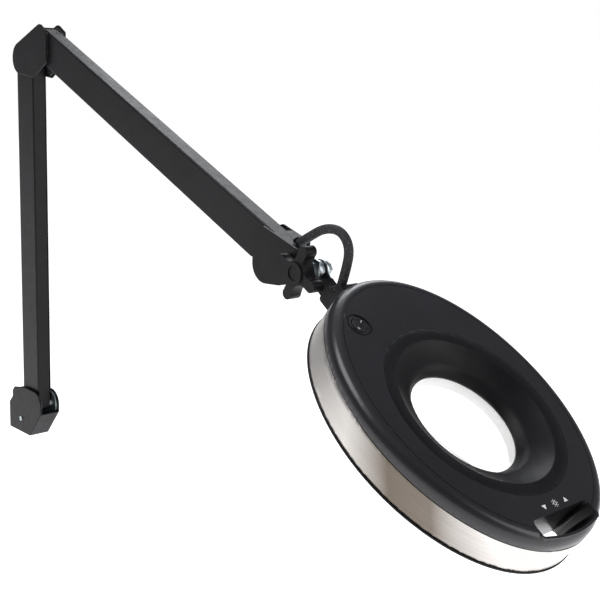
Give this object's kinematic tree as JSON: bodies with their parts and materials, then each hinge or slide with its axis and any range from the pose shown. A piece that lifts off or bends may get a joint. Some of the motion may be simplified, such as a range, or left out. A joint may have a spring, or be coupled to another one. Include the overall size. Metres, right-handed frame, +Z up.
{
  "type": "magnifying lamp",
  "caption": "Black magnifying work lamp: spring-balanced two-section arm with a post socket, tilting neck, and an egg-shaped steel-banded head with a round lens and a handle cut-out.",
  "frame": {"origin": "centre of the mouth of the post socket under the base", "axes": "+Z up along the mounting post, +X from the base towards the head, -Y the side of the tilt knob"},
  "size_m": [1.0065, 0.2759, 0.6122],
  "materials": {
    "black_paint": "satin powder coat",
    "black_plastic": "fine textured",
    "gloss_black": "polished",
    "brushed_band": "brushed lengthwise",
    "zinc": "zinc plated",
    "spring_steel": "drawn wire",
    "nylon": "natural nylon",
    "cable_sleeve": "matt sleeve",
    "lens_glass": "clear",
    "white_diffuser": "frosted",
    "led_phosphor": "phosphor",
    "white_board": "white solder mask",
    "green_board": "green solder mask",
    "electronics": "moulded",
    "white_print": "printed",
    "brass": "turned",
    "soft_rubber": "matt"
  },
  "bodies": {
    "base": {"base_bracket": "zinc", "base_socket": "zinc", "base_cover_near": "black_plastic", "base_cover_far": "black_plastic", "base_cover_screws": "zinc", "base_pivot_pins": "zinc", "base_pivot_washers": "nylon", "mains_inlet_bush": "black_plastic"},
    "lower_arm": {"lower_channel": "black_paint", "lower_springs": "spring_steel", "lower_spring_pins": "zinc", "lower_cable": "cable_sleeve"},
    "lower_link_bar": {"lower_link": "black_paint"},
    "elbow": {"elbow_bracket": "zinc", "elbow_cover_near": "black_plastic", "elbow_cover_far": "black_plastic", "elbow_pivot_pins": "zinc", "elbow_pivot_washers": "nylon"},
    "upper_arm": {"upper_channel": "black_paint", "upper_springs": "spring_steel", "upper_spring_pins": "zinc", "upper_cable": "cable_sleeve"},
    "upper_link_bar": {"upper_link": "black_paint"},
    "arm_end": {"end_bracket": "zinc", "end_cover_near": "black_plastic", "end_cover_far": "black_plastic", "end_pivot_pins": "zinc", "end_pivot_washers": "nylon", "flex_bush": "black_plastic", "tilt_bolt": "zinc", "tilt_washers": "zinc", "cable_loop": "cable_sleeve"},
    "knob": {"tilt_knob": "black_plastic", "tilt_knob_insert": "brass"},
    "neck_arm": {"neck": "black_plastic", "neck_pin": "zinc", "neck_gland": "black_plastic"},
    "head": {"top_shell": "gloss_black", "bezel_ring": "black_plastic", "lens": "lens_glass", "lens_seal": "soft_rubber", "lens_retainer": "white_diffuser", "led_board": "white_board", "leds": "led_phosphor", "diffuser": "white_diffuser", "bottom_cover": "black_plastic", "steel_band": "brushed_band", "driver_board": "green_board", "driver_parts": "electronics", "touch_board": "green_board", "touch_icons": "white_print", "switch_bezel": "gloss_black", "switch_body": "black_plastic", "head_screws": "zinc", "neck_socket": "zinc"},
    "rocker": {"switch_rocker": "gloss_black", "switch_marks": "white_print"}
  },
  "joints": [
    {"name": "lower_swing", "type": "hinge", "parent": "base", "child": "lower_arm", "pos_m": [0.0236, 0, 0.052], "axis": [0, 1, 0], "range_deg": [-45, 45]},
    {"name": "lower_link_swing", "type": "hinge", "parent": "base", "child": "lower_link_bar", "pos_m": [0.0446, 0, 0.052], "axis": [0, 1, 0], "range_deg": [-45, 45]},
    {"name": "elbow_level", "type": "hinge", "parent": "lower_arm", "child": "elbow", "pos_m": [0.0236, 0, 0.567], "axis": [0, 1, 0], "range_deg": [-45, 45]},
    {"name": "upper_swing", "type": "hinge", "parent": "elbow", "child": "upper_arm", "pos_m": [0.078, 0, 0.589], "axis": [0, 1, 0], "range_deg": [-69.65, 20.35]},
    {"name": "upper_link_swing", "type": "hinge", "parent": "elbow", "child": "upper_link_bar", "pos_m": [0.078, 0, 0.568], "axis": [0, 1, 0], "range_deg": [-69.65, 20.35]},
    {"name": "end_level", "type": "hinge", "parent": "upper_arm", "child": "arm_end", "pos_m": [0.56607, 0, 0.36503], "axis": [0, 1, 0], "range_deg": [-20.35, 69.65]},
    {"name": "knob_turn", "type": "hinge", "parent": "arm_end", "child": "knob", "pos_m": [0.635, 0, 0.348], "axis": [0, 1, 0], "continuous": true},
    {"name": "head_tilt", "type": "hinge", "parent": "arm_end", "child": "neck_arm", "pos_m": [0.635, 0, 0.348], "axis": [0, 1, 0], "range_deg": [-60, 45], "deforming": ["cable_loop"]},
    {"name": "head_swivel", "type": "hinge", "parent": "neck_arm", "child": "head", "pos_m": [0.68708, 0, 0.32357], "axis": [0.8111, 0, -0.585], "range_deg": [-45, 45]},
    {"name": "rocker_tilt", "type": "hinge", "parent": "head", "child": "rocker", "pos_m": [0.75826, -0.06559, 0.31627], "axis": [0.5964, 0.6555, -0.4633], "range_deg": [-14, 0]}
  ],
  "couplings": [
    {"joint": "lower_link_swing", "follows": "lower_swing", "ratio": 1},
    {"joint": "elbow_level", "follows": "lower_swing", "ratio": -1},
    {"joint": "upper_link_swing", "follows": "upper_swing", "ratio": 1},
    {"joint": "end_level", "follows": "upper_swing", "ratio": -1}
  ]
}
